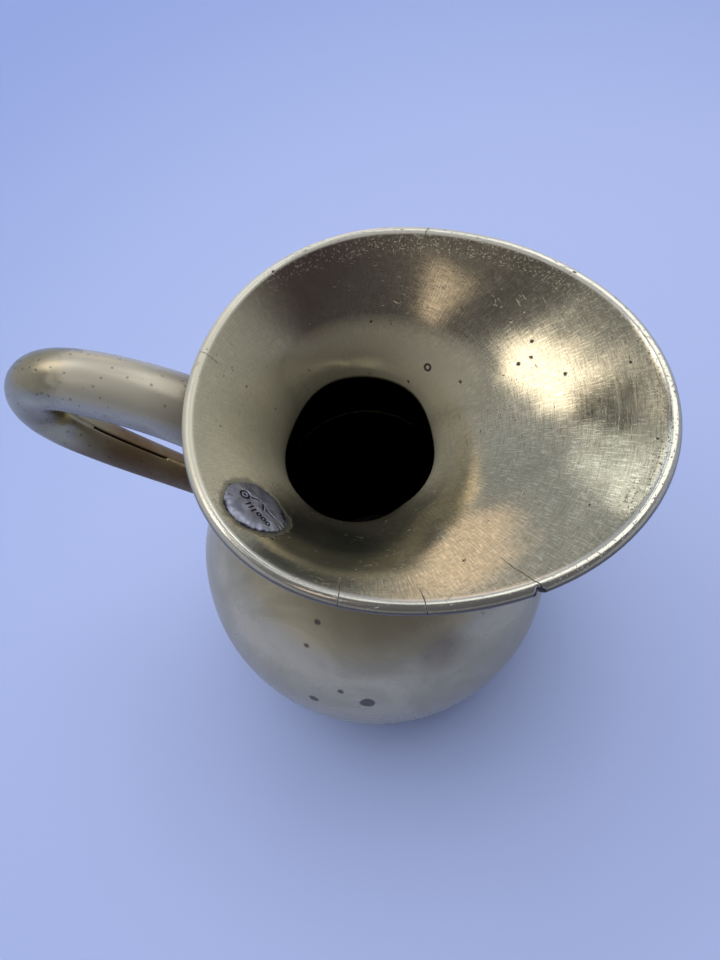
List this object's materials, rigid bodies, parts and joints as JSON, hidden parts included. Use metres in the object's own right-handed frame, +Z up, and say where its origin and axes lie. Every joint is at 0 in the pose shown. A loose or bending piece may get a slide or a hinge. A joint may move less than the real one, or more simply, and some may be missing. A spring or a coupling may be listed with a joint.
{
  "type": "brass jug",
  "caption": "Round-bellied brass pouring jug with a narrow throat, a wide funnel mouth drawn out to a lip, and a tapering tube loop handle.",
  "frame": {"origin": "centre of the flat base, on the axis of the belly and the throat", "axes": "+Z up; +X towards the pouring lip, with the handle along -X; the jug is symmetric about XZ but for its plug"},
  "size_m": [0.1463, 0.104, 0.1368],
  "materials": {
    "belly_brass": "old polish with a soft grey tarnish",
    "mouth_brass": "polished by hand, fine scratches and small pits",
    "handle_brass": "worn satin with pitting",
    "solder": "dull grey solder",
    "wire": "drawn wire",
    "plug_metal": "dull grey soft metal, dark at its edge"
  },
  "bodies": {
    "root": {"bulb": "belly_brass", "base_disc": "belly_brass", "base_solder": "solder", "mouth_funnel": "mouth_brass", "neck_solder": "solder", "rim_wire": "wire", "handle_tube": "handle_brass", "handle_seam_solder": "solder", "handle_top_solder": "solder", "handle_foot_solder": "solder", "verification_plug": "plug_metal"}
  },
  "joints": []
}
